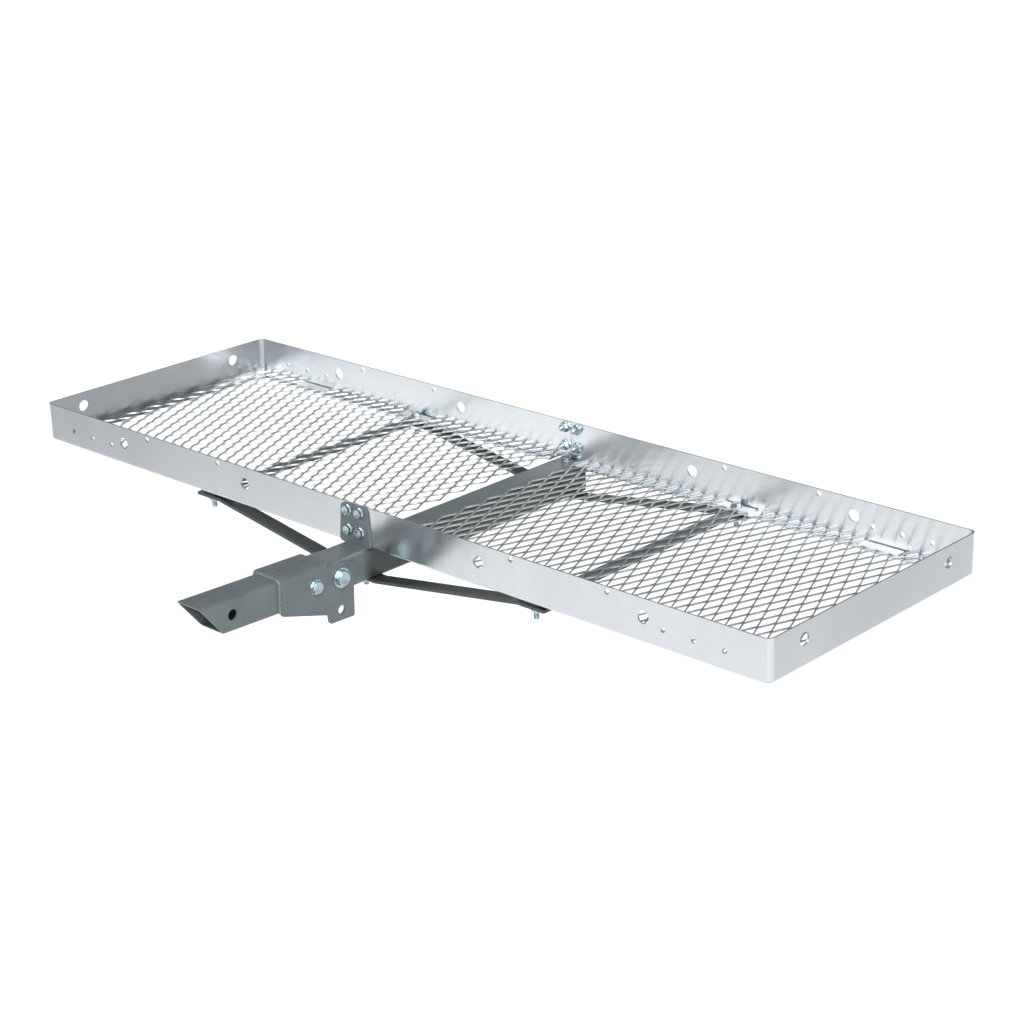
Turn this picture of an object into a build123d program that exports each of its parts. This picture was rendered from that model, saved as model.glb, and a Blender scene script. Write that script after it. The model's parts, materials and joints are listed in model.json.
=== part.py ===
from build123d import *
from math import atan2, cos, degrees, hypot, radians, sin
import os

# Folding hitch cargo carrier. Millimetres, +Z up, +X along the long side, +Y away from the vehicle.
# The origin is the centre of the hitch pin hole, on the shank's axis.
os.makedirs("parts", exist_ok=True)

# Basket: two bent sheet rails that meet at the centre seam
basket_length = 1524.0
basket_depth = 482.6
wall_height = 64.0
sheet = 2.5
flange_width = 28.0
plan_corner_radius = 12.0
flange_bend_radius = 4.0
seam_gap = 0.8
mitre_slit = 1.2

# Holes in the walls: distances from the centre seam, and heights over the wall's lower edge
tie_down_radius = 9.5
tie_down_offsets = (251.0, 554.0)
tie_down_height = 37.0
end_hole_inset = 74.0
end_hole_height = 40.0
light_hole_radius = 4.0
light_hole_offsets = (588.0, 639.0, 690.0)
light_hole_height = 28.0
rim_hole_radius = 4.5
rim_hole_offsets = (314.5, 491.0)
rim_hole_height = 57.0

# Square tube of the shank and the main beam
tube = 50.8
tube_wall = 3.2
tube_corner = 5.0
shank_tilt = 2.0
pin_hole_radius = 8.35
tip_reach_top = 60.0
tip_reach_bottom = 16.0

# Fold pivot, measured from the pivot bolt along and across the shank
pin_to_pivot = 202.0
pivot_to_wall = 62.0
lock_radius = 50.8
fold_angle = 90.0
beam_nose = 66.0
shank_end = 74.0

# Pivot bracket: a folded plate that is welded over the shank and straddles the beam
bracket_plate = 4.8
bracket_gap = 0.4
bracket_bend = 7.0
bracket_front = 115.0
bracket_top_end = 28.0
bracket_rear = 25.0
cheek_top = 22.0
cheek_rear_radius = 15.0
cheek_front_drop = 28.0
cheek_knee = (-26.0, -52.0)
cheek_tab = (-23.0, -67.0)
cheek_corner_radius = 3.0
top_hole_radius = 3.2
top_hole_offsets = (45.0, 94.0)
fold_hole_radius = 7.15
weld_leg = 4.6

# Expanded metal floor: diamonds with their long way front to back
diamond_long = 50.8
diamond_short = 23.4
strand_width = 3.2
mesh_thickness = 5.0
mesh_edge_gap = 3.0
strip_notch_gap = 1.0
beam_side_gap = 0.8
layer_gap = 0.1

# Flat bars under the floor
bar_width = 25.4
bar_thickness = 4.8
crossbar_offset = 347.5
crossbar_end_gap = 5.0
bolt_inset = 15.0
brace_tip = 373.0
brace_bend = 322.0
brace_flat = 32.0
brace_bend_radius = 18.0

# Strips on the flange that hold the floor's edge
strip_width = 19.0
strip_thickness = 2.5
clamp_length = 61.0
tab_length = 68.0
tab_offset = 612.0

# Splice plates
splice_plate = 3.2
splice_top_width = 54.0
splice_bottom_width = 66.0
splice_height = 62.0
splice_bolt_spacing = 25.4
splice_bolt_heights = (22.5, 53.5)
splice_corner_radius = 6.0
vent_radius = 2.2
vent_offset = 15.0

# Fasteners: shank diameter, across flats, head height, nut height, flange diameter
m8 = (8.0, 13.0, 6.6, 8.0, 17.9)
m12 = (12.0, 18.0, 5.5, 10.0, 0.0)
m14 = (14.0, 21.0, 6.5, 12.0, 0.0)
thread_clearance = 0.05
hole_clearance = 0.5
running_clearance = 0.06
flange_rise = 1.6
thread_end = 5.5
clamp_thread_end = 11.0
pivot_washer_radius = 15.5
lock_washer_radius = 11.6
washer_thickness = 2.0

# Worked out from the above
tilt = radians(shank_tilt)
pivot = Vector(0, pin_to_pivot * cos(tilt), -pin_to_pivot * sin(tilt))
deck = pivot.Z + tube / 2
front = pivot.Y + pivot_to_wall
rear = front + basket_depth
middle = (front + rear) / 2
cheek_inner = tube / 2 + bracket_gap
cheek_outer = cheek_inner + bracket_plate
mesh_bottom = deck + sheet + layer_gap
brace_rows = (front + bolt_inset, rear - bolt_inset)
sides = (("left", -1), ("right", 1))

# Planes of the tilted shank: across it at the pin, and along its side at the pin and at the pivot
across_shank = Plane(origin=(0, 0, 0), x_dir=(1, 0, 0), z_dir=(0, -cos(tilt), sin(tilt)))
along_shank = Plane(origin=(0, 0, 0), x_dir=(0, cos(tilt), -sin(tilt)), z_dir=(1, 0, 0))
along_pivot = Plane(origin=pivot, x_dir=(0, cos(tilt), -sin(tilt)), z_dir=(1, 0, 0))
lock = along_pivot.from_local_coords(Vector(-lock_radius, 0, 0))
beam_side = Plane(origin=pivot, x_dir=(0, 1, 0), z_dir=(1, 0, 0))


def save(part, name):
    """Label one finished piece and write its file."""
    part.label = name
    export_step(part, f"parts/{name}.step")


def tube_section():
    """Draw the hollow square section of the shank and the beam."""
    RectangleRounded(tube, tube, tube_corner)
    RectangleRounded(tube - 2 * tube_wall, tube - 2 * tube_wall, tube_corner - tube_wall, mode=Mode.SUBTRACT)


def hex_body(flats, height, collar):
    """Return a hexagon with turned corners that stands on z = 0, with a sloping collar if it has one."""
    corner = flats / 2 / cos(radians(30))
    with BuildPart() as body:
        with BuildSketch():
            RegularPolygon(flats / 2, 6, major_radius=False)
        extrude(amount=height)
        with BuildSketch(Plane.XZ):
            with BuildLine():
                Polyline(
                    (0, 0),
                    (corner, 0),
                    (corner, height - (corner - flats / 2) * 0.8),
                    (flats / 2 * 0.96, height),
                    (0, height),
                    close=True,
                )
            make_face()
        revolve(axis=Axis.Z, mode=Mode.INTERSECT)
        if collar:
            with BuildSketch(Plane.XZ):
                with BuildLine():
                    Polyline(
                        (0, 0),
                        (collar / 2, 0),
                        (collar / 2, flange_rise * 0.6),
                        (flats / 2, flange_rise * 1.5),
                        (0, flange_rise * 1.5),
                        close=True,
                    )
                make_face()
            revolve(axis=Axis.Z)
    return body.part


def bolt(size, grip, tail=thread_end):
    """Return a hex bolt: its head stands on z = 0 and its shank runs down through the grip and a nut."""
    diameter, flats, head_height, nut_height, collar = size
    with BuildPart() as piece:
        add(hex_body(flats, head_height, collar))
        with BuildSketch():
            Circle(diameter / 2)
        extrude(amount=-(grip + nut_height + tail))
        chamfer(piece.edges().sort_by(Axis.Z)[0], diameter * 0.1)
    return piece.part


def nut(size):
    """Return a hex nut that stands on z = 0."""
    diameter, flats, _, nut_height, collar = size
    with BuildPart() as piece:
        add(hex_body(flats, nut_height, collar))
        with BuildSketch():
            Circle(diameter / 2 + thread_clearance)
        extrude(amount=nut_height, mode=Mode.SUBTRACT)
    return piece.part


def facing(point, direction):
    """Return the plane at a point whose normal is the given direction, with a level x axis."""
    level = (0, 1, 0) if abs(direction[0]) else (1, 0, 0)
    return Plane(origin=point, x_dir=level, z_dir=direction)


def group(name, piece, planes):
    """Write one node that holds a copy of a piece on each plane."""
    with BuildPart() as node:
        with Locations(*planes):
            add(piece)
    save(node.part, name)


# Shank: square tube that slides into the receiver, mitred at its open tip
with BuildPart() as shank_tube:
    with BuildSketch(across_shank.offset(shank_end - pin_to_pivot)):
        tube_section()
    extrude(amount=pin_to_pivot - shank_end + tip_reach_top)
    with BuildSketch(along_shank):
        slope = (tip_reach_top - tip_reach_bottom) / tube
        with BuildLine():
            Polyline(
                (-tip_reach_bottom + slope * tube / 2, -tube),
                (-tip_reach_top - slope * tube / 2, tube),
                (-tip_reach_top - tube, tube),
                (-tip_reach_top - tube, -tube),
                close=True,
            )
        make_face()
    extrude(amount=tube, both=True, mode=Mode.SUBTRACT)
    with BuildSketch(along_shank):
        Circle(pin_hole_radius)
    extrude(amount=tube, both=True, mode=Mode.SUBTRACT)
save(shank_tube.part, "shank_tube")

# Pivot bracket: top plate over the shank, and two cheeks that carry the pivot, lock and fold holes
with BuildPart() as pivot_bracket:
    bracket_top = cheek_inner + bracket_plate
    with BuildSketch(along_pivot) as cheek:
        with BuildLine():
            Polyline(
                (-bracket_front, bracket_top),
                (-bracket_front, -cheek_front_drop),
                cheek_knee,
                cheek_tab,
                (bracket_rear, cheek_tab[1]),
                (bracket_rear, cheek_top),
                (-bracket_top_end, cheek_top),
                (-bracket_top_end, bracket_top),
                close=True,
            )
        make_face()
        fillet(cheek.vertices().sort_by(Axis.Y)[:4], cheek_corner_radius)
        fillet(cheek.vertices().sort_by_distance((bracket_rear, cheek_top, 0))[0], cheek_rear_radius)
    extrude(amount=cheek_outer, both=True)
    fold_edges = pivot_bracket.edges().filter_by(Axis((0, 0, 0), along_pivot.x_dir))
    fillet(fold_edges.sort_by(along_pivot.location.y_axis)[-2:], bracket_bend)
    with BuildSketch(across_shank.offset(bracket_front - pin_to_pivot)) as channel:
        with Locations((0, cheek_inner - 2 * tube)):
            Rectangle(2 * cheek_inner, 4 * tube)
        fillet(channel.vertices().group_by(Axis.Z)[-1], bracket_bend - bracket_plate)
    extrude(amount=-(bracket_front + 2 * bracket_rear), mode=Mode.SUBTRACT)
    with BuildSketch(along_pivot):
        Circle(m14[0] / 2 + hole_clearance / 2)
        with Locations((-lock_radius, 0), (0, -lock_radius)):
            Circle(fold_hole_radius)
    extrude(amount=tube, both=True, mode=Mode.SUBTRACT)
    top_plane = Plane(origin=pivot, x_dir=(1, 0, 0), z_dir=along_pivot.y_dir)
    with BuildSketch(top_plane):
        with Locations(*[(0, -offset) for offset in top_hole_offsets]):
            Circle(top_hole_radius)
    extrude(amount=tube, mode=Mode.SUBTRACT)
save(pivot_bracket.part, "pivot_bracket")

# Fillet weld round the front edge of the bracket, on the shank's top and both sides
with BuildPart() as shank_weld:
    weld_plane = across_shank.offset(bracket_front - pin_to_pivot)
    half = tube / 2
    with BuildLine(weld_plane) as weld_path:
        FilletPolyline(
            (half, -cheek_front_drop + weld_leg),
            (half, half),
            (-half, half),
            (-half, -cheek_front_drop + weld_leg),
            radius=tube_corner,
        )
    with BuildSketch(Plane(origin=weld_path.line @ 0, x_dir=(1, 0, 0), z_dir=weld_path.line % 0)) as bead:
        with BuildLine():
            Polyline((0, 0), (weld_leg, 0), (0, -weld_leg), close=True)
        make_face()
    sweep()
save(shank_weld.part, "shank_weld")

# Pivot bolt with its washers and nut, and the lock bolt with its washer and the nut welded behind it
pivot_grip = 2 * (cheek_outer + washer_thickness)
out_x = Vector(cheek_outer, 0, 0)
step_x = Vector(washer_thickness, 0, 0)
group("pivot_bolt", bolt(m14, pivot_grip), [facing(pivot + out_x + step_x, (1, 0, 0))])
group("pivot_nut", nut(m14), [facing(pivot - out_x - step_x, (-1, 0, 0))])
group("lock_bolt", bolt(m12, pivot_grip - washer_thickness), [facing(lock + out_x + step_x, (1, 0, 0))])
group("lock_nut", nut(m12), [facing(lock - out_x, (-1, 0, 0))])
washer_places = {
    "pivot_washers": (pivot_washer_radius, m14, (pivot + out_x, pivot - out_x - step_x)),
    "lock_washer": (lock_washer_radius, m12, (lock + out_x,)),
}
for name, (outer, size, places) in washer_places.items():
    with BuildPart() as washer:
        with BuildSketch(*[facing(place, (1, 0, 0)) for place in places]):
            Circle(outer)
            Circle(size[0] / 2 + thread_clearance, mode=Mode.SUBTRACT)
        extrude(amount=washer_thickness)
    save(washer.part, name)

# Main beam: carries the basket and turns between the bracket's cheeks
with BuildPart() as main_beam:
    with BuildSketch(Plane.XZ.offset(beam_nose - pivot.Y)):
        with Locations((0, pivot.Z)):
            tube_section()
    extrude(amount=-(beam_nose + pivot_to_wall + basket_depth + splice_plate))
    with BuildSketch(beam_side):
        Circle(m14[0] / 2 + running_clearance)
    extrude(amount=tube, both=True, mode=Mode.SUBTRACT)
    # The lock slot follows the lock bolt's path as the beam folds, and leaves through the top wall
    slot_start = 180 - shank_tilt
    with BuildSketch(beam_side):
        with BuildLine():
            outer = CenterArc((0, 0), lock_radius + fold_hole_radius, slot_start, -fold_angle / 2)
            inner = CenterArc((0, 0), lock_radius - fold_hole_radius, slot_start, -fold_angle / 2)
            Line(outer @ 0, inner @ 0)
            Line(outer @ 1, inner @ 1)
        make_face()
        with PolarLocations(lock_radius, 1, start_angle=slot_start):
            Circle(fold_hole_radius)
    extrude(amount=tube, both=True, mode=Mode.SUBTRACT)
    with BuildSketch(Plane.XY.offset(deck)):
        with Locations(*[(0, row) for row in brace_rows]):
            Circle(m8[0] / 2 + hole_clearance)
    extrude(amount=-2 * tube, mode=Mode.SUBTRACT)
    with BuildSketch(Plane.XY.offset(deck)):
        with Locations((-vent_offset, rear - flange_width)):
            Circle(vent_radius)
    extrude(amount=-tube / 2, mode=Mode.SUBTRACT)
save(main_beam.part, "main_beam")

# Splice plates: stand on the beam outside the front and rear walls and tie the two rails together
splice_bolt_columns = (-splice_bolt_spacing / 2, splice_bolt_spacing / 2)
splice_points = [(x, z) for x in splice_bolt_columns for z in splice_bolt_heights]
splice_faces = (("front", front, -1), ("rear", rear, 1))
for name, wall, outward in splice_faces:
    with BuildPart() as splice_bracket:
        with BuildSketch(Plane.XZ.offset(-wall)) as outline:
            with BuildLine():
                Polyline(
                    (-splice_bottom_width / 2, deck),
                    (splice_bottom_width / 2, deck),
                    (splice_top_width / 2, deck + splice_height),
                    (-splice_top_width / 2, deck + splice_height),
                    close=True,
                )
            make_face()
            fillet(outline.vertices(), splice_corner_radius)
            with Locations(*[(x, deck + z) for x, z in splice_points]):
                Circle(m8[0] / 2 + hole_clearance, mode=Mode.SUBTRACT)
        extrude(amount=-splice_plate * outward)
    save(splice_bracket.part, f"splice_bracket_{name}")
    head_y = wall + outward * splice_plate
    nut_y = wall - outward * sheet
    head_planes = [facing((x, head_y, deck + z), (0, outward, 0)) for x, z in splice_points]
    nut_planes = [facing((x, nut_y, deck + z), (0, -outward, 0)) for x, z in splice_points]
    group(f"splice_bolts_{name}", bolt(m8, splice_plate + sheet), head_planes)
    group(f"splice_nuts_{name}", nut(m8), nut_planes)

# Side rails: each is one bent sheet with a front, an end and a rear wall over an inward flange
wall_holes = (
    (tie_down_offsets, tie_down_height, tie_down_radius),
    (light_hole_offsets, light_hole_height, light_hole_radius),
    (rim_hole_offsets, rim_hole_height, rim_hole_radius),
)
inner_length = basket_length - 2 * sheet
inner_depth = basket_depth - 2 * sheet
end_hole_rows = (front + end_hole_inset, rear - end_hole_inset)
for name, side in sides:
    with BuildPart() as rail:
        with BuildSketch(Plane.XY.offset(deck)):
            with Locations((0, middle)):
                RectangleRounded(basket_length, basket_depth, plan_corner_radius)
        extrude(amount=wall_height)
        fillet(rail.faces().sort_by(Axis.Z)[0].edges(), flange_bend_radius)
        with BuildSketch(Plane.XY.offset(deck + sheet)):
            with Locations((0, middle)):
                RectangleRounded(inner_length, inner_depth, plan_corner_radius - sheet)
        extrude(amount=wall_height, mode=Mode.SUBTRACT)
        # The flange is open over the floor, stops beside the beam, and is slit towards its corners
        with BuildSketch(Plane.XY.offset(deck)):
            with Locations((0, middle)):
                Rectangle(basket_length - 2 * flange_width, basket_depth - 2 * flange_width)
                Rectangle(tube + 2 * beam_side_gap, inner_depth)
            for row, inward in ((front, 1), (rear, -1)):
                start = (side * (basket_length / 2 - plan_corner_radius), row + inward * plan_corner_radius)
                with Locations(Location(start, degrees(atan2(inward, -side)))):
                    Rectangle(flange_width, mitre_slit, align=(Align.MIN, Align.CENTER))
            with Locations(*[(side * crossbar_offset, row) for row in brace_rows]):
                Circle(m8[0] / 2 + hole_clearance)
        extrude(amount=sheet, mode=Mode.SUBTRACT)
        with BuildSketch(Plane.XZ.offset(-front)):
            for offsets, height, radius in wall_holes:
                with Locations(*[(side * offset, deck + height) for offset in offsets]):
                    Circle(radius)
            with Locations(*[(x, deck + z) for x, z in splice_points]):
                Circle(m8[0] / 2 + hole_clearance)
        extrude(amount=-basket_depth, mode=Mode.SUBTRACT)
        with BuildSketch(Plane.YZ):
            with Locations(*[(row, deck + end_hole_height) for row in end_hole_rows]):
                Circle(tie_down_radius)
        extrude(amount=side * basket_length / 2, mode=Mode.SUBTRACT)
        with BuildSketch(Plane.XY.offset(deck)):
            with Locations((-side * (basket_length - seam_gap) / 2, middle)):
                Rectangle(basket_length, 2 * basket_depth)
        extrude(amount=wall_height, mode=Mode.SUBTRACT)
    save(rail.part, f"rail_{name}")

# Expanded metal floors: diamonds are cut through one sheet, which rests on the flange beside the strips
strips = (("clamp_plates", clamp_length, crossbar_offset), ("retainer_tabs", tab_length, tab_offset))
mesh_length = basket_length / 2 - sheet - mesh_edge_gap - tube / 2 - beam_side_gap
mesh_depth = basket_depth - 2 * (sheet + mesh_edge_gap)
half_short = diamond_short / 2
half_long = diamond_long / 2
opening = 1 - strand_width / 2 * hypot(half_short, half_long) / (half_short * half_long)
columns = int(mesh_length / diamond_short) + 2
rows = int(mesh_depth / diamond_long) + 2
with BuildPart() as mesh_floor_right:
    with BuildSketch(Plane.XY.offset(mesh_bottom)):
        with Locations((tube / 2 + beam_side_gap + mesh_length / 2, middle)):
            Rectangle(mesh_length, mesh_depth)
            for shift in (0, 0.5):
                with Locations((shift * diamond_short, shift * diamond_long)):
                    with GridLocations(diamond_short, diamond_long, columns, rows):
                        Polygon(
                            (half_short * opening, 0),
                            (0, half_long * opening),
                            (-half_short * opening, 0),
                            (0, -half_long * opening),
                            mode=Mode.SUBTRACT,
                        )
        for _, length, offset in strips:
            with Locations(*[(offset, row) for row in brace_rows]):
                Rectangle(length + 2 * strip_notch_gap, strip_width + 2 * strip_notch_gap, mode=Mode.SUBTRACT)
    extrude(amount=mesh_thickness)
save(mesh_floor_right.part, "mesh_floor_right")
with BuildPart() as mesh_floor_left:
    add(mesh_floor_right.part)
    mirror(about=Plane.YZ, mode=Mode.REPLACE)
save(mesh_floor_left.part, "mesh_floor_left")

# Crossbars: one flat bar under each floor, from the front flange to the rear flange
crossbar_length = basket_depth - 2 * crossbar_end_gap
for name, side in sides:
    with BuildPart() as crossbar:
        with BuildSketch(Plane.XY.offset(deck)):
            with Locations((side * crossbar_offset, middle)):
                Rectangle(bar_width, crossbar_length)
                with Locations((0, brace_rows[0] - middle), (0, brace_rows[1] - middle)):
                    Circle(m8[0] / 2 + hole_clearance, mode=Mode.SUBTRACT)
        extrude(amount=-bar_thickness)
    save(crossbar.part, f"crossbar_{name}")

# Braces: one bent flat bar from crossbar to crossbar, under the beam
brace_end_z = deck - bar_thickness * 1.5
brace_low_z = deck - tube - bar_thickness / 2
for (name, _, _), row in zip(splice_faces, brace_rows):
    with BuildPart() as brace:
        with BuildLine() as brace_path:
            FilletPolyline(
                (-brace_tip, row, brace_end_z),
                (-brace_bend, row, brace_end_z),
                (-brace_flat, row, brace_low_z),
                (brace_flat, row, brace_low_z),
                (brace_bend, row, brace_end_z),
                (brace_tip, row, brace_end_z),
                radius=brace_bend_radius,
            )
        with BuildSketch(Plane(origin=brace_path.line @ 0, x_dir=(0, 1, 0), z_dir=(1, 0, 0))):
            Rectangle(bar_width, bar_thickness)
        sweep()
        with BuildSketch(Plane.XY.offset(deck)):
            with Locations((-crossbar_offset, row), (crossbar_offset, row)):
                Circle(m8[0] / 2 + hole_clearance)
            with Locations((0, row)):
                Circle(m8[0] / 2 + hole_clearance)
        extrude(amount=-2 * tube, mode=Mode.SUBTRACT)
    save(brace.part, f"brace_{name}")

# Strips on the flange: a bolted clamp over each crossbar end, and a tab near each corner
strip_corner = strip_width / 8
for name, length, offset in strips:
    with BuildPart() as strip:
        with BuildSketch(Plane.XY.offset(mesh_bottom)):
            with Locations(*[(side * offset, row) for _, side in sides for row in brace_rows]):
                RectangleRounded(length, strip_width, strip_corner)
                if name == "clamp_plates":
                    Circle(m8[0] / 2 + hole_clearance, mode=Mode.SUBTRACT)
        extrude(amount=strip_thickness)
    save(strip.part, name)

# Bolts that stand upright: through the clamps and crossbars, and through the beam
clamp_top = mesh_bottom + strip_thickness
brace_bottom = deck - 2 * bar_thickness
beam_foot = deck - tube - bar_thickness
clamp_points = [(side * crossbar_offset, row) for _, side in sides for row in brace_rows]
beam_points = [(0, row) for row in brace_rows]
up = (0, 0, 1)
down = (0, 0, -1)
clamp_bolt = bolt(m8, clamp_top - brace_bottom, clamp_thread_end)
beam_bolt = bolt(m8, deck - beam_foot)
group("crossbar_bolts", clamp_bolt, [facing((x, y, clamp_top), up) for x, y in clamp_points])
group("crossbar_nuts", nut(m8), [facing((x, y, brace_bottom), down) for x, y in clamp_points])
group("beam_bolts", beam_bolt, [facing((x, y, deck), up) for x, y in beam_points])
group("beam_nuts", nut(m8), [facing((x, y, beam_foot), down) for x, y in beam_points])
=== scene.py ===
import json
import math
import random
from collections import namedtuple

import bpy
from mathutils import Matrix, Vector


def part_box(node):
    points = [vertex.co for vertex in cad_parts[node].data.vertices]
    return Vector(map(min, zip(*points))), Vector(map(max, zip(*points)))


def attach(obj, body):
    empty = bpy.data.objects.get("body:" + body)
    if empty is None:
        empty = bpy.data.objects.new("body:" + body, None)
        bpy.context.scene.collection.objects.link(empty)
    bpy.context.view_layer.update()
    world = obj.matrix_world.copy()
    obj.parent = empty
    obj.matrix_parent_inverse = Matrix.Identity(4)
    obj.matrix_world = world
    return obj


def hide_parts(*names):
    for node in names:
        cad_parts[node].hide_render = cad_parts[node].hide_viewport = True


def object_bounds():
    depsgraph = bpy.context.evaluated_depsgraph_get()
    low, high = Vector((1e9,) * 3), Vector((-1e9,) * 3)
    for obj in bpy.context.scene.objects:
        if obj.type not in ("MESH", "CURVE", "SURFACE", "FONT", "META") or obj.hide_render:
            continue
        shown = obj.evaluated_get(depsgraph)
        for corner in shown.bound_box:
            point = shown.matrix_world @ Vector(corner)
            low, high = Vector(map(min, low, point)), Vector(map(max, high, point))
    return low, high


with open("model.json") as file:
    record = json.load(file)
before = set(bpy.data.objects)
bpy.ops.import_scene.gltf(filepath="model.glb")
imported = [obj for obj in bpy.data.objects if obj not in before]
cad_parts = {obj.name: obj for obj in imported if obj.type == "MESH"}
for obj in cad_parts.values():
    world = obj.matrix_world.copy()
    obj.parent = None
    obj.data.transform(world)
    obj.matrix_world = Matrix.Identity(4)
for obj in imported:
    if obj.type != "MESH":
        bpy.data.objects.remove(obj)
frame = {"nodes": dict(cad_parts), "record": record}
cad_low, cad_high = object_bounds()
scene = bpy.context.scene
nodes = frame["nodes"]
random.seed(7)
MM = 0.001
# The rails' lower edge and the basket's front face
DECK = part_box("rail_left")[0].z
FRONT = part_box("rail_left")[0].y

# ---------------------------------------------------------------- meshes

# Edges that turn more than this stay sharp
SHARP_EDGE = math.radians(32)
# A radius that stands for the axis itself, so that no two points of a ring fall together
AXIS = 0.0005 * MM
# CAD points that agree to 0.005 mm are one point
KEYS_PER_METRE = 2e5


class Shape:
    """Vertices and faces that grow by lofted rings and spun profiles."""

    def __init__(self):
        self.vertices = []
        self.faces = []

    def loft(self, rings):
        """Join rings of equal length into a closed tube."""
        start = len(self.vertices)
        count = len(rings[0])
        for ring in rings:
            self.vertices.extend(ring)
        for i in range(len(rings) - 1):
            for j in range(count):
                a = start + i * count + j
                b = start + i * count + (j + 1) % count
                self.faces.append((a, b, b + count, a + count))
        last = start + (len(rings) - 1) * count
        self.faces.append(tuple(range(start + count - 1, start - 1, -1)))
        self.faces.append(tuple(range(last, last + count)))

    def spin(self, profile, place, segments=48, ring=False):
        """Spin a profile about a placement's axis. At each angle it gives its (radius, height) pairs."""
        start = len(self.vertices)
        angles = [2 * math.pi * i / segments for i in range(segments)]
        rows = [profile(angle) for angle in angles]
        count = len(rows[0])
        for angle, row in zip(angles, rows):
            for radius, height in row:
                point = Vector((radius * math.cos(angle), radius * math.sin(angle), height))
                self.vertices.append(place @ point)
        for i in range(segments):
            here = start + i * count
            there = start + (i + 1) % segments * count
            for j in range(count if ring else count - 1):
                k = (j + 1) % count
                self.faces.append((here + j, there + j, there + k, here + k))
        if not ring:
            self.faces.append(tuple(start + i * count for i in reversed(range(segments))))
            self.faces.append(tuple(start + i * count + count - 1 for i in range(segments)))


def make_object(name, shape, node, body, slot):
    """Make one piece from a shape. It stands in for a CAD node and rides on a body."""
    mesh = bpy.data.meshes.new(name)
    mesh.from_pydata([tuple(v) for v in shape.vertices], [], shape.faces)
    mesh.validate()
    mesh.update()
    piece = bpy.data.objects.new(name, mesh)
    scene.collection.objects.link(piece)
    mesh.materials.append(materials[slot])
    mesh.shade_smooth()
    mesh.set_sharp_from_angle(angle=SHARP_EDGE)
    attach(piece, body)
    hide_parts(node)


def loose_boxes(node):
    """Return the low and high corners of each separate solid in a CAD node."""
    mesh = nodes[node].data
    keys = {}
    parent = []

    def root(i):
        while parent[i] != i:
            parent[i] = parent[parent[i]]
            i = parent[i]
        return i

    index = []
    for vertex in mesh.vertices:
        key = tuple(round(c * KEYS_PER_METRE) for c in vertex.co)
        if key not in keys:
            keys[key] = len(parent)
            parent.append(len(parent))
        index.append(keys[key])
    for polygon in mesh.polygons:
        first = root(index[polygon.vertices[0]])
        for v in polygon.vertices[1:]:
            parent[root(index[v])] = first
    groups = {}
    for vertex in mesh.vertices:
        groups.setdefault(root(index[vertex.index]), []).append(vertex.co)
    boxes = []
    for points in groups.values():
        low = Vector([min(p[i] for p in points) for i in range(3)])
        high = Vector([max(p[i] for p in points) for i in range(3)])
        boxes.append((low, high))
    return sorted(boxes, key=lambda b: tuple(round(c, 4) for c in b[0]))


# ---------------------------------------------------------------- materials


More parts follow.
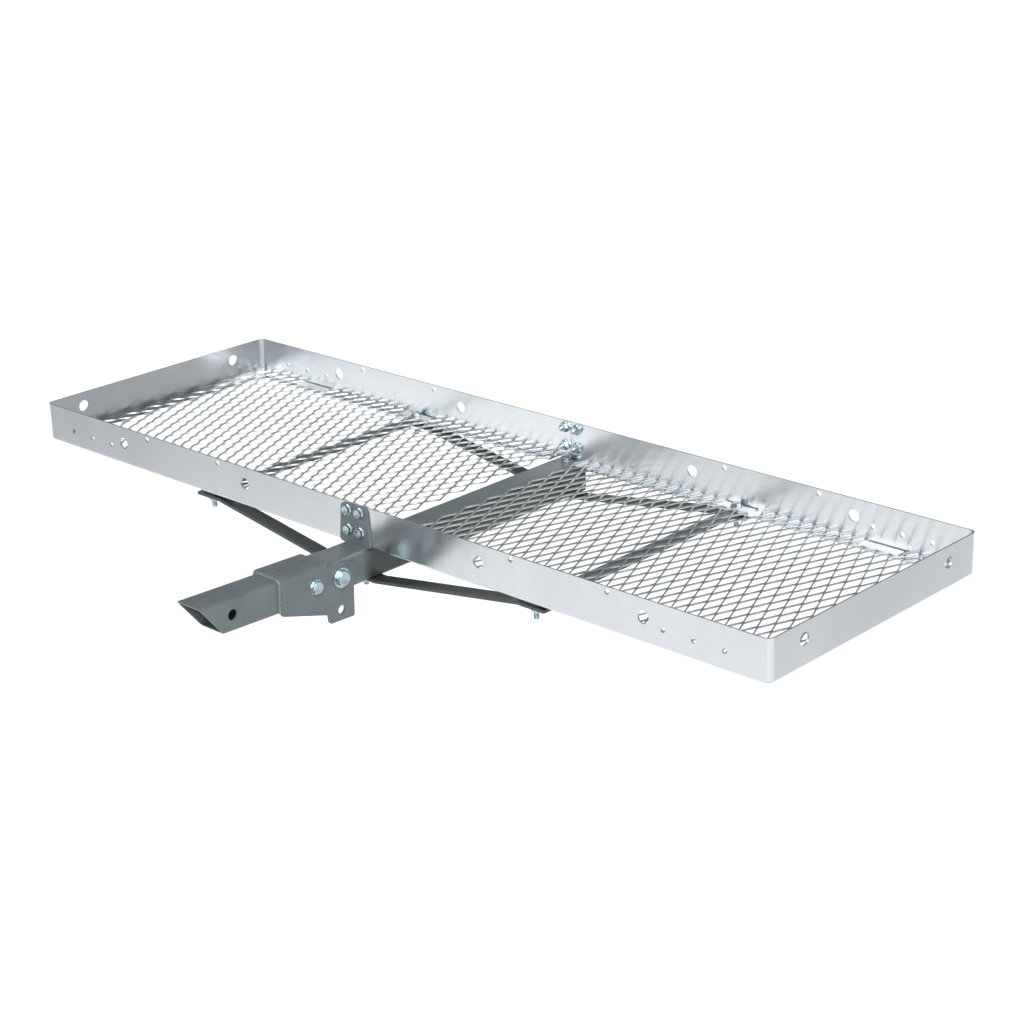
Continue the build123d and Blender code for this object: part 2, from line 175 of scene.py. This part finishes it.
class Tree:
    """A node material that ends in one Principled shader."""

    def __init__(self, name):
        self.material = bpy.data.materials.new(name)
        self.material.use_nodes = True
        self.tree = self.material.node_tree
        self.tree.nodes.clear()
        output = self.node("ShaderNodeOutputMaterial")
        self.shader = self.node("ShaderNodeBsdfPrincipled")
        self.link(self.shader.outputs[0], output.inputs["Surface"])
        coordinates = self.node("ShaderNodeTexCoord")
        self.place = coordinates.outputs["Object"]
        self.facing = coordinates.outputs["Normal"]

    def node(self, kind, **settings):
        made = self.tree.nodes.new(kind)
        for key, value in settings.items():
            setattr(made, key, value)
        return made

    def link(self, a, b):
        self.tree.links.new(a, b)

    def put(self, socket, value):
        """Link a socket, or set its value."""
        if isinstance(value, bpy.types.NodeSocket):
            self.link(value, socket)
        else:
            socket.default_value = value

    def axes(self, vector):
        """A vector's X, Y and Z."""
        made = self.node("ShaderNodeSeparateXYZ")
        self.link(vector, made.inputs[0])
        return made.outputs

    def noise(self, scale, detail=4.0, roughness=0.5, vector=None):
        """Noise over the object's own coordinates, or over another vector."""
        made = self.node("ShaderNodeTexNoise")
        made.inputs["Scale"].default_value = scale
        made.inputs["Detail"].default_value = detail
        made.inputs["Roughness"].default_value = roughness
        self.link(vector or self.place, made.inputs["Vector"])
        return made.outputs["Fac"]

    def grain(self, stretch, detail, roughness):
        """Noise with a scale of its own along each axis."""
        mapping = self.node("ShaderNodeMapping")
        mapping.inputs["Scale"].default_value = stretch
        self.link(self.place, mapping.inputs["Vector"])
        return self.noise(1.0, detail, roughness, mapping.outputs[0])

    def span(self, value, low, high, to_low, to_high):
        """Map a value from one range to another, and hold it there."""
        made = self.node("ShaderNodeMapRange")
        for socket, v in zip(made.inputs, (value, low, high, to_low, to_high)):
            self.put(socket, v)
        return made.outputs[0]

    def math(self, operation, a, b=0.0):
        made = self.node("ShaderNodeMath", operation=operation)
        self.put(made.inputs[0], a)
        self.put(made.inputs[1], b)
        return made.outputs[0]

    def mix(self, factor, a, b):
        """Mix two colours. The node's sockets 6, 7 and 2 are the ones for colours."""
        made = self.node("ShaderNodeMix", data_type="RGBA")
        self.put(made.inputs["Factor"], factor)
        self.put(made.inputs[6], a)
        self.put(made.inputs[7], b)
        return made.outputs[2]

    def bump(self, height, strength, distance, normal=None):
        made = self.node("ShaderNodeBump")
        made.inputs["Strength"].default_value = strength
        made.inputs["Distance"].default_value = distance
        self.link(height, made.inputs["Height"])
        if normal:
            self.link(normal, made.inputs["Normal"])
        return made.outputs[0]

    def round_edges(self, radius):
        """A normal that turns softly over every edge."""
        made = self.node("ShaderNodeBevel", samples=4)
        made.inputs["Radius"].default_value = radius
        return made.outputs[0]

    def edge_mask(self, radius):
        """About 1 along edges, where the soft normal leaves the true one, and 0 on flats."""
        true = self.node("ShaderNodeNewGeometry").outputs["True Normal"]
        made = self.node("ShaderNodeVectorMath", operation="DOT_PRODUCT")
        self.link(self.round_edges(radius), made.inputs[0])
        self.link(true, made.inputs[1])
        return self.span(made.outputs["Value"], 0.985, 0.9, 0.0, 1.0)

    def finish(self, color, metallic, roughness, normal=None, **extra):
        self.put(self.shader.inputs["Base Color"], color)
        self.put(self.shader.inputs["Metallic"], metallic)
        self.put(self.shader.inputs["Roughness"], roughness)
        if normal:
            self.link(normal, self.shader.inputs["Normal"])
        for key, value in extra.items():
            self.put(self.shader.inputs[key], value)
        return self.material


def times(color, factor):
    """A colour made lighter or darker."""
    return tuple(c * factor for c in color) + (1,)


def aluminium_sheet():
    """Rolled sheet: fine grain along its length, hairline scratches, painted shade along the lower edge of
    its upright faces, and reflections that stretch up and down."""
    m = Tree("aluminium_sheet")
    dull, bright = (0.60, 0.62, 0.645, 1), (0.66, 0.675, 0.69, 1)
    # Fingered marks, and the dark of the painted shade at the foot of the upright faces
    fingered, shade_dark = (0.54, 0.56, 0.585, 1), (0.17, 0.18, 0.19, 1)
    rolling = m.grain((9.0, 9.0, 1800.0), 3.0, 0.6)
    sheen = m.grain((7.0, 7.0, 2.0), 3.0, 0.5)
    fine = m.noise(70.0, 4.0, 0.6)
    color = m.mix(m.span(sheen, 0.35, 0.65, 0.0, 1.0), dull, bright)
    handled = m.span(m.noise(16.0, 5.0, 0.65), 0.56, 0.74, 0.0, 0.22)
    color = m.mix(handled, color, fingered)
    # Painted shade: the colour darkens in patches over the lowest 1.4 mm of the upright faces, standing in
    # for the shade at their foot
    near_foot = m.span(m.axes(m.place)["Z"], DECK + 1.4 * MM, DECK + 0.5 * MM, 0.0, 0.85)
    patchy = m.span(m.noise(90.0, 4.0, 0.6), 0.3, 0.5, 0.55, 1.0)
    upright = m.span(m.math("ABSOLUTE", m.axes(m.facing)["Z"]), 0.2, 0.6, 1.0, 0.0)
    foot_shade = m.math("MULTIPLY", m.math("MULTIPLY", near_foot, patchy), upright)
    color = m.mix(foot_shade, color, shade_dark)
    roughness = m.math("ADD", m.span(sheen, 0.3, 0.7, 0.17, 0.22), m.span(fine, 0.3, 0.7, -0.015, 0.035))
    roughness = m.math("ADD", roughness, m.math("MULTIPLY", handled, 0.15))
    normal = m.bump(rolling, 0.08, 0.0002)
    normal = m.bump(m.grain((12.0, 12.0, 3.0), 2.0, 0.5), 0.10, 0.002, normal)
    scratch = m.span(m.grain((38.0, 38.0, 900.0), 2.0, 0.5), 0.68, 0.74, 0.0, 1.0)
    normal = m.bump(scratch, 0.12, 0.0001, normal)
    tangent = m.node("ShaderNodeCombineXYZ")
    for socket, value in zip(tangent.inputs, (0.02, 0.02, 1.0)):
        socket.default_value = value
    return m.finish(color, 1.0, roughness, normal, Anisotropic=0.85, Tangent=tangent.outputs[0])


def aluminium_mesh():
    """Slit and stretched metal: a little cloudy, with drawn-out grain along the strands."""
    m = Tree("aluminium_mesh")
    cloud = m.noise(40.0, 4.0, 0.6)
    fine = m.noise(900.0, 3.0, 0.6)
    color = m.mix(m.span(cloud, 0.35, 0.65, 0.0, 1.0), (0.48, 0.50, 0.505, 1), (0.58, 0.60, 0.60, 1))
    roughness = m.math("ADD", m.span(cloud, 0.3, 0.7, 0.26, 0.36), m.span(fine, 0.3, 0.7, -0.03, 0.06))
    normal = m.bump(m.grain((420.0, 60.0, 420.0), 3.0, 0.6), 0.25, 0.0004)
    normal = m.bump(fine, 0.2, 0.0001, normal)
    return m.finish(color, 1.0, roughness, normal)


def strip_metal():
    """Flat strip: paler than the rails, rougher, and with a lengthwise grain."""
    m = Tree("strip_metal")
    grain = m.grain((18.0, 1500.0, 1500.0), 3.0, 0.6)
    cloud = m.noise(30.0, 4.0, 0.55)
    color = m.mix(m.span(cloud, 0.35, 0.65, 0.0, 1.0), (0.70, 0.72, 0.725, 1), (0.80, 0.815, 0.82, 1))
    roughness = m.math("ADD", m.span(cloud, 0.3, 0.7, 0.30, 0.40), m.span(grain, 0.3, 0.7, -0.03, 0.05))
    return m.finish(color, 1.0, roughness, m.bump(grain, 0.2, 0.0002))


def zinc_plate():
    """Clear zinc: bluish silver with faint cloudy spangle and a few dull specks."""
    m = Tree("zinc_plated_steel")
    deep, silver = (0.33, 0.42, 0.48, 1), (0.46, 0.56, 0.62, 1)
    greenish, dusty = (0.42, 0.53, 0.52, 1), (0.42, 0.45, 0.46, 1)
    cloud = m.noise(160.0, 4.0, 0.6)
    color = m.mix(m.span(cloud, 0.35, 0.65, 0.0, 1.0), deep, silver)
    color = m.mix(m.span(m.noise(70.0, 3.0, 0.5), 0.45, 0.6, 0.0, 0.6), color, greenish)
    speck = m.span(m.noise(1400.0, 2.0, 0.5), 0.62, 0.7, 0.0, 0.5)
    color = m.mix(speck, color, dusty)
    roughness = m.math("ADD", m.span(cloud, 0.3, 0.7, 0.16, 0.27), m.math("MULTIPLY", speck, 0.2))
    normal = m.bump(m.noise(2200.0, 3.0, 0.6), 0.15, 0.00006, m.round_edges(0.4 * MM))
    return m.finish(color, 1.0, roughness, normal)


def painted_steel(name, base, ripple=0.0):
    """Satin powder coat: orange peel, dust nibs, paler worn edges, and painted shade below the deck, where
    the basket shadows it."""
    m = Tree(name)
    worn = (0.30, 0.32, 0.325, 1)
    edge = 0.9 * MM
    cloud = m.noise(18.0, 5.0, 0.6)
    color = m.mix(m.span(cloud, 0.35, 0.65, 0.0, 1.0), times(base, 0.86), times(base, 1.1))
    speckle = m.span(m.noise(1800.0, 2.0, 0.5), 0.58, 0.7, 0.0, 0.25)
    color = m.mix(speckle, color, times(base, 1.5))
    broken = m.span(m.noise(260.0, 5.0, 0.7), 0.45, 0.62, 0.1, 0.75)
    color = m.mix(m.math("MULTIPLY", m.edge_mask(edge), broken), color, worn)
    scuff = m.span(m.grain((60.0, 9.0, 160.0), 4.0, 0.6), 0.62, 0.74, 0.0, 0.3)
    color = m.mix(scuff, color, times(base, 1.35))
    # Painted shade: below the deck and behind the basket's front face the colour darkens, standing in for the
    # basket's shadow
    _, y, z = m.axes(m.place)
    below = m.span(z, DECK - 0.4 * MM, DECK - 2.5 * MM, 0.0, 0.78)
    behind = m.span(y, FRONT - 14 * MM, FRONT + 4 * MM, 0.0, 1.0)
    color = m.mix(m.math("MULTIPLY", below, behind), color, times(base, 0.12))
    roughness = m.math("ADD", m.span(cloud, 0.3, 0.7, 0.32, 0.42), m.math("MULTIPLY", scuff, -0.2))
    normal = m.bump(m.noise(900.0, 2.0, 0.5), 0.28, 0.0001, m.round_edges(edge))
    normal = m.bump(m.noise(120.0, 2.0, 0.5), 0.1, 0.0004, normal)
    if ripple:
        normal = m.bump(m.noise(ripple, 3.0, 0.6), 0.4, 0.0004, normal)
    return m.finish(color, 0.0, roughness, normal)


PAINT = (0.086, 0.106, 0.110)
materials = {
    "aluminium_sheet": aluminium_sheet(),
    "aluminium_mesh": aluminium_mesh(),
    "strip_metal": strip_metal(),
    "zinc_plated_steel": zinc_plate(),
    "painted_steel": painted_steel("painted_steel", PAINT),
    "weld_bead": painted_steel("weld_bead", tuple(c * 1.1 for c in PAINT), 700.0),
}
slot_of = {s["node"]: s["material_slot"] for s in frame["record"]["subparts"]}
for name, obj in nodes.items():
    obj.data.materials.clear()
    obj.data.materials.append(materials[slot_of[name]])

# ---------------------------------------------------------------- expanded metal floors

# A strand's section: its width, thickness, cut corners and lean, and how uneven the strands' heights are
STRAND = 2.6 * MM
GAUGE = 2.6 * MM
CHAMFER = 0.34 * MM
TILT = math.radians(34)
UNEVEN = 0.04 * MM
# Half a diamond across the strands and along them
HALF_SHORT = 11.7 * MM
HALF_LONG = 25.4 * MM
# A bond, where two strands run side by side: its length, and how far each strand's middle is from the
# line between them, as a share of its width
BOND = 2.6 * MM
BOND_OFFSET = 0.36
# Straight pieces between two bonds
STEPS = 2
# Room round each strip on the flange, and the steps in which a strand's leg is followed up to it
NOTCH_GAP = 1.0 * MM
CUT_STEPS = 20


def floor_notches():
    """The strips' outlines on the flange, each with a small gap round it."""
    for node in ("clamp_plates", "retainer_tabs"):
        for low, high in loose_boxes(node):
            yield low.x - NOTCH_GAP, high.x + NOTCH_GAP, low.y - NOTCH_GAP, high.y + NOTCH_GAP


def between(p, q, share):
    """The point at a share of the way from one point to another."""
    return tuple(a + (b - a) * share for a, b in zip(p, q))


def zigzag(stops):
    """A strand's path: a short run along Y at each bond, and straight legs between them."""
    path = []
    for x, y, z in stops:
        arrival = (x, y - BOND / 2, z)
        if path:
            departure = path[-1]
            path += [between(departure, arrival, step / STEPS) for step in range(1, STEPS)]
        path += [arrival, (x, y + BOND / 2, z)]
    return path


def trimmed(path, near, far):
    """The part of a path between two places along Y, in order of Y."""
    kept = []
    for p, q in zip(path, path[1:]):
        for cut in (near, far):
            if (p[1] - cut) * (q[1] - cut) < 0:
                kept.append(between(p, q, (cut - p[1]) / (q[1] - p[1])))
        if near <= q[1] <= far:
            kept.append(q)
    return sorted(kept, key=lambda point: point[1])


def cut_short(path, notches):
    """Follow a strand from its middle towards each end, and stop it where it meets a notch."""
    def inside(point):
        return any(x0 < point[0] < x1 and y0 < point[1] < y1 for x0, x1, y0, y1 in notches)

    def last_clear(p, q):
        for i in range(CUT_STEPS):
            if inside(between(p, q, (i + 1) / CUT_STEPS)):
                return between(p, q, i / CUT_STEPS)
        return q

    def walk(points):
        kept = [points[0]]
        for p, q in zip(points, points[1:]):
            if inside(q):
                kept.append(last_clear(p, q))
                break
            kept.append(q)
        return kept

    half = len(path) // 2
    return walk(path[half::-1])[::-1] + walk(path[half:])[1:]


def strand_section(side):
    """The corners of a strand's leaning section, measured from its middle."""
    across = Vector((math.cos(TILT), 0, -side * math.sin(TILT)))
    up = Vector((side * math.sin(TILT), 0, math.cos(TILT)))
    a, b = STRAND / 2, GAUGE / 2
    corners = [
        (a - CHAMFER, -b), (a, -b + CHAMFER), (a, b - CHAMFER), (a - CHAMFER, b),
        (-a + CHAMFER, b), (-a, b - CHAMFER), (-a, -b + CHAMFER), (-a + CHAMFER, -b),
    ]
    return [across * u + up * v for u, v in corners]


def expanded_floor(name, node, side):
    """Zigzag strands, all leaning to one side, that meet their neighbours in doubled bonds. The columns of
    diamonds are counted from the floor's edge beside the beam."""
    low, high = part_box(node)
    middle = (low.z + high.z) / 2
    section = strand_section(side)
    notches = list(floor_notches())
    count = int((high.x - low.x) / HALF_SHORT)
    start = low.x if side > 0 else high.x - count * HALF_SHORT
    depth = high.y - low.y
    bonds = int(depth / HALF_LONG) + 2
    phase = (depth - (bonds - 1) * HALF_LONG) / 2
    reach = STRAND * BOND_OFFSET * math.cos(TILT)
    rise = STRAND * BOND_OFFSET * math.sin(TILT)
    shape = Shape()
    for k in range(count):
        lift = random.uniform(-1, 1) * UNEVEN
        stops = []
        for j in range(bonds):
            left = (j + k) % 2 == 0
            x = start + k * HALF_SHORT + (reach if left else HALF_SHORT - reach)
            y = low.y + (phase + j * HALF_LONG)
            z = middle + (-side if left else side) * rise + lift
            stops.append((x, y, z))
        path = cut_short(trimmed(zigzag(stops), low.y, high.y), notches)
        shape.loft([[Vector(point) + corner for corner in section] for point in path])
    make_object(name, shape, node, "carrier", "aluminium_mesh")


expanded_floor("expanded_floor_right", "mesh_floor_right", 1)
expanded_floor("expanded_floor_left", "mesh_floor_left", -1)

# ---------------------------------------------------------------- fasteners

# Thread diameter, width across flats, head height, flange diameter (0 without one) and pitch
Size = namedtuple("Size", "diameter flats head flange pitch")
M8 = Size(*(v * MM for v in (8.0, 13.0, 6.6, 17.9, 1.25)))
M12 = Size(*(v * MM for v in (12.0, 18.0, 5.5, 0.0, 1.75)))
M14 = Size(*(v * MM for v in (14.0, 21.0, 6.5, 0.0, 2.0)))
# Rings of points to one turn of a thread
THREAD_ROWS = 6
# Heights of a flange's foot, rim and cone up to the hexagon, as shares of a head's or a nut's height
HEAD_FLANGE = (0.0, 0.06, 0.17, 0.24, 0.34, 0.42)
NUT_FLANGE = (0.0, 0.05, 0.15, 0.21, 0.3, 0.37)
# The chamfer's circle at the top of a head and of a nut, as a share of the width across flats
HEAD_CIRCLE = 0.97
NUT_CIRCLE = 0.95


def hexagon(flats, angle):
    """Radius of a hexagon at an angle."""
    turn = (angle + math.pi / 6) % (math.pi / 3) - math.pi / 6
    return flats / 2 / math.cos(turn)


def flange_rows(r, flange, height, shares):
    """A rounded flange, and the cone from it up to the hexagon."""
    cone = min(r * 1.06, flange * 0.46)
    widths = (flange * 0.44, flange / 2, flange / 2, flange * 0.47, cone, r)
    return [(width, height * share) for width, share in zip(widths, shares)]


def chamfer_rows(r, flats, height, circle):
    """The turned chamfer that cuts a hexagon's corners back to a circle."""
    full = hexagon(flats, math.pi / 6)
    drop = (full - flats / 2) * 0.62
    inner = flats / 2 * circle
    return [(min(r, inner + (full - inner) * share), height - drop * share) for share in (1.0, 0.5, 0.0)]


def add_head(shape, place, size):
    """A hex head with a turned chamfer and a shallow dish, and a rounded flange below it if it has one."""
    flats, height = size.flats, size.head
    full = hexagon(flats, math.pi / 6)

    def profile(angle):
        r = hexagon(flats, angle)
        rows = [(AXIS, 0.0)]
        if size.flange:
            rows += flange_rows(r, size.flange, height, HEAD_FLANGE)
        else:
            rows += [(flats * 0.47, 0.0), (flats * 0.48, height * 0.04), (min(r, full * 0.99), height * 0.07)]
        rows += chamfer_rows(r, flats, height, HEAD_CIRCLE)
        rows += [(flats * 0.36, height * 0.995), (flats * 0.32, height * 0.95), (AXIS, height * 0.95)]
        return rows

    shape.spin(profile, place)


def add_nut(shape, place, size, height):
    """A hex nut with chamfered corners and a countersunk bore a little inside the thread's crests."""
    diameter, flats = size.diameter, size.flats
    bore = diameter / 2 * 0.97

    def profile(angle):
        r = hexagon(flats, angle)
        rows = [(bore, 0.0)]
        if size.flange:
            rows += flange_rows(r, size.flange, height, NUT_FLANGE)
        else:
            rows += [(flats * 0.47, 0.0), (min(r, flats * 0.5), height * 0.03), (r, height * 0.12)]
        rows += chamfer_rows(r, flats, height, NUT_CIRCLE)
        rows += [(diameter * 0.56, height), (bore, height - diameter * 0.06)]
        return rows

    shape.spin(profile, place, ring=True)


def add_thread(shape, place, size, low, high, plain):
    """A screw's shank: a chamfered end, a V thread up to the plain part, then the plain part to its head."""
    pitch = size.pitch
    crest = size.diameter / 2
    root = crest - pitch * 0.55

    def profile(angle):
        rows = [(AXIS, low), (root * 0.9, low), (root, low + pitch * 0.35)]
        z = low + pitch * 0.5
        while z < plain:
            turn = ((z / pitch) - angle / (2 * math.pi)) % 1.0
            rise = 1 - abs(2 * turn - 1)
            start = min(1.0, (z - low) / (pitch * 1.5))
            rows.append((root + (crest - root) * min(1.0, rise * 1.25) * start, z))
            z += pitch / THREAD_ROWS
        rows += [(crest, plain + pitch * 0.3), (crest, high), (AXIS, high)]
        return rows

    shape.spin(profile, place, segments=32)


def placement(point, direction):
    """A placement with its z axis along a direction, turned about it at random."""
    turn = random.uniform(0, math.pi / 3)
    facing = Vector(direction).normalized().to_track_quat("Z", "Y").to_matrix().to_4x4()
    return Matrix.Translation(point) @ facing @ Matrix.Rotation(turn, 4, "Z")


def fastener_ends(node, direction):
    """For each separate solid of a node, its axis points at the far end and the near end of the direction."""
    axis = max(range(3), key=lambda i: abs(direction[i]))
    for low, high in loose_boxes(node):
        centre = (low + high) / 2
        top, foot = centre.copy(), centre.copy()
        top[axis] = high[axis] if direction[axis] > 0 else low[axis]
        foot[axis] = low[axis] if direction[axis] > 0 else high[axis]
        yield top, foot


def bolts(name, node, size, direction, body, thread_share):
    """A hex bolt for each solid of a node, with its head at the far end of the direction."""
    shape = Shape()
    for top, foot in fastener_ends(node, direction):
        seat = top - Vector(direction) * size.head
        length = (foot - seat).length
        place = placement(seat, direction)
        add_head(shape, place, size)
        add_thread(shape, place, size, -length, size.head * 0.2, -length * (1 - thread_share))
    make_object(name, shape, node, body, "zinc_plated_steel")


def nuts(name, node, size, direction, body):
    """A hex nut for each solid of a node, with its chamfered end at the far end of the direction."""
    shape = Shape()
    for top, foot in fastener_ends(node, direction):
        add_nut(shape, placement(foot, direction), size, (top - foot).length)
    make_object(name, shape, node, body, "zinc_plated_steel")


bolts("hex_bolts_splice_front", "splice_bolts_front", M8, (0, -1, 0), "carrier", 0.8)
bolts("hex_bolts_splice_rear", "splice_bolts_rear", M8, (0, 1, 0), "carrier", 0.8)
bolts("hex_bolts_crossbar", "crossbar_bolts", M8, (0, 0, 1), "carrier", 0.5)
bolts("hex_bolts_beam", "beam_bolts", M8, (0, 0, 1), "carrier", 0.3)
bolts("hex_bolt_pivot", "pivot_bolt", M14, (1, 0, 0), "shank", 0.3)
bolts("hex_bolt_lock", "lock_bolt", M12, (1, 0, 0), "lock", 0.3)
nuts("hex_nuts_splice_front", "splice_nuts_front", M8, (0, 1, 0), "carrier")
nuts("hex_nuts_splice_rear", "splice_nuts_rear", M8, (0, -1, 0), "carrier")
nuts("hex_nuts_crossbar", "crossbar_nuts", M8, (0, 0, -1), "carrier")
nuts("hex_nuts_beam", "beam_nuts", M8, (0, 0, -1), "carrier")
nuts("hex_nut_pivot", "pivot_nut", M14, (-1, 0, 0), "shank")
nuts("hex_nut_lock", "lock_nut", M12, (-1, 0, 0), "shank")

# ---------------------------------------------------------------- weld bead

# The shank and its bracket slope down towards the pivot
SHANK_SLOPE = math.radians(2.0)
# One ripple's length, and the distance between two rings of the bead
BEAD_PITCH = 2.6 * MM
BEAD_STEP = BEAD_PITCH / 4
# Points round the bead's quarter section, and the power that fills it out
BEAD_SIDES = 7
BEAD_FILL = 0.8
# The bend round the tube's upper corners: its radius and its steps
BEND = 5.0 * MM
BEND_STEPS = 12
# The bead's height as a share of its CAD leg: between ripples, what a ripple adds, and a slow drift
BEAD_BASE = 0.80
BEAD_RIPPLE = 0.16
BEAD_DRIFT = 0.03
DRIFT_PER_METRE = 900


def bead_path(half, foot):
    """Points and outward directions, across and up: up one side, over the top and down the other."""
    corner = half - BEND
    path = []
    steps = int((corner - foot) / BEAD_STEP)
    for i in range(steps + 1):
        path.append((half, foot + (corner - foot) * i / steps, 1.0, 0.0))
    for i in range(1, BEND_STEPS):
        angle = math.pi / 2 * i / BEND_STEPS
        nx, nz = math.cos(angle), math.sin(angle)
        path.append((corner + BEND * nx, corner + BEND * nz, nx, nz))
    steps = int(corner / BEAD_STEP)
    for i in range(steps + 1):
        path.append((corner * (1 - i / steps), half, 0.0, 1.0))
    return path + [(-x, z, -nx, nz) for x, z, nx, nz in path[-2::-1]]


def weld_bead(name, node):
    """A rippled bead round the bracket's front edge."""
    points = [v.co for v in nodes[node].data.vertices]
    back = Vector((0, math.cos(SHANK_SLOPE), -math.sin(SHANK_SLOPE)))
    rise = Vector((0, math.sin(SHANK_SLOPE), math.cos(SHANK_SLOPE)))
    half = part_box("shank_tube")[1].x
    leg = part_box(node)[1].x - half
    seat = max(p.dot(back) for p in points)
    path = bead_path(half, min(p.dot(rise) for p in points))
    rings = []
    run = 0.0
    for i, (x, z, nx, nz) in enumerate(path):
        if i:
            run += math.hypot(x - path[i - 1][0], z - path[i - 1][1])
        beat = (run / BEAD_PITCH) % 1.0
        ripple = math.sqrt(max(0.0, 1 - (2 * beat - 1) ** 2))
        swell = BEAD_BASE + BEAD_RIPPLE * ripple + BEAD_DRIFT * math.sin(run * DRIFT_PER_METRE)
        ring = [(0.0, 0.0)]
        for k in range(BEAD_SIDES):
            angle = math.pi / 2 * k / (BEAD_SIDES - 1)
            u, v = math.cos(angle) ** BEAD_FILL, math.sin(angle) ** BEAD_FILL
            ring.append((leg * swell * u, leg * swell * v))
        out = Vector((nx, 0, 0)) + rise * nz
        rings.append([Vector((x, 0, 0)) + rise * z + back * (seat - u) + out * v for u, v in ring])
    shape = Shape()
    shape.loft(rings)
    make_object(name, shape, node, "shank", "weld_bead")


weld_bead("weld_bead_shank", "shank_weld")

# ---------------------------------------------------------------- stage, light and camera

# The floor lies this far below the object, so that the shadow on it is very soft
FLOOR_DROP = 1.1
FLOOR_HALF = 60.0
# A painted shadow on the floor, a soft grey pool: its middle, and how far from there it starts and is deepest
POOL = (1.3, 0.1, 0.0)
POOL_EDGE = 1.3
POOL_CORE = 0.1


def stage_white():
    """A pale floor with painted shade: greyer far out to the front left and the rear right, and a painted
    shadow, a soft grey pool, on its +X side."""
    m = Tree("stage_white")
    pale = m.mix(m.noise(0.6, 2.0), (0.91, 0.91, 0.91, 1), (0.93, 0.93, 0.93, 1))
    grey = (0.42, 0.425, 0.44, 1)
    x, y, _ = m.axes(m.place)
    # Painted shade on the floor: it greys far out to the front left and to the rear right, around a pale pool
    # of painted light
    near = m.math("MULTIPLY", m.span(y, 0.0, -1.0, 0.0, 1.0), m.span(x, -2.0, -4.0, 0.0, 1.0))
    far = m.math("MULTIPLY", m.span(y, 1.2, 2.8, 0.0, 1.0), m.span(x, 0.9, 2.4, 0.0, 0.6))
    # Painted shadow: a soft grey pool on the floor's +X side, darkest at its middle
    distance = m.node("ShaderNodeVectorMath", operation="DISTANCE")
    m.link(m.place, distance.inputs[0])
    distance.inputs[1].default_value = POOL
    pool = m.span(distance.outputs["Value"], POOL_EDGE, POOL_CORE, 0.0, 0.6)
    shade = m.math("MAXIMUM", m.math("MAXIMUM", near, far), pool)
    return m.finish(m.mix(shade, pale, grey), 0.0, 0.9)


def studio_floor():
    """One large square below the object."""
    mesh = bpy.data.meshes.new("studio_floor")
    corners = [(x * FLOOR_HALF, y * FLOOR_HALF, 0) for x, y in ((-1, -1), (1, -1), (1, 1), (-1, 1))]
    mesh.from_pydata(corners, [], [(0, 1, 2, 3)])
    mesh.materials.append(stage_white())
    piece = bpy.data.objects.new("studio_floor", mesh)
    piece.location.z = cad_low.z - FLOOR_DROP
    scene.collection.objects.link(piece)


def studio_world():
    """An even grey surround, a little paler above."""
    world = bpy.data.worlds.new("studio")
    scene.world = world
    world.use_nodes = True
    tree = world.node_tree
    background = tree.nodes["Background"]
    coords = tree.nodes.new("ShaderNodeTexCoord")
    split = tree.nodes.new("ShaderNodeSeparateXYZ")
    ramp = tree.nodes.new("ShaderNodeValToRGB")
    tree.links.new(coords.outputs["Generated"], split.inputs[0])
    tree.links.new(split.outputs["Z"], ramp.inputs[0])
    tree.links.new(ramp.outputs[0], background.inputs["Color"])
    below, above = ramp.color_ramp.elements
    below.position, below.color = 0.0, (0.30, 0.31, 0.325, 1)
    above.position, above.color = 1.0, (0.33, 0.34, 0.345, 1)
    background.inputs["Strength"].default_value = 1.0


def sun(name, direction, strength, angle):
    """A broad soft lamp that shines from a direction."""
    data = bpy.data.lights.new(name, "SUN")
    data.energy = strength
    data.angle = math.radians(angle)
    lamp = bpy.data.objects.new(name, data)
    scene.collection.objects.link(lamp)
    lamp.rotation_euler = (-Vector(direction)).to_track_quat("-Z", "Y").to_euler()


def photo_camera():
    """The camera that was fitted to the photograph."""
    data = bpy.data.cameras.new("camera")
    data.lens = 79.055
    data.sensor_width = 36.0
    data.clip_end = 200.0
    camera = bpy.data.objects.new("camera", data)
    scene.collection.objects.link(camera)
    camera.location = (2.3095, -1.8237, 1.2559)
    camera.rotation_euler = tuple(math.radians(a) for a in (68.969, 1.485, 43.049))
    scene.camera = camera


studio_floor()
studio_world()
sun("key_light", (0.86, -0.58, 0.86), 4.2, 54)
sun("fill_light", (-0.45, -0.95, 0.62), 1.0, 44)
photo_camera()
scene.view_settings.view_transform = "Standard"
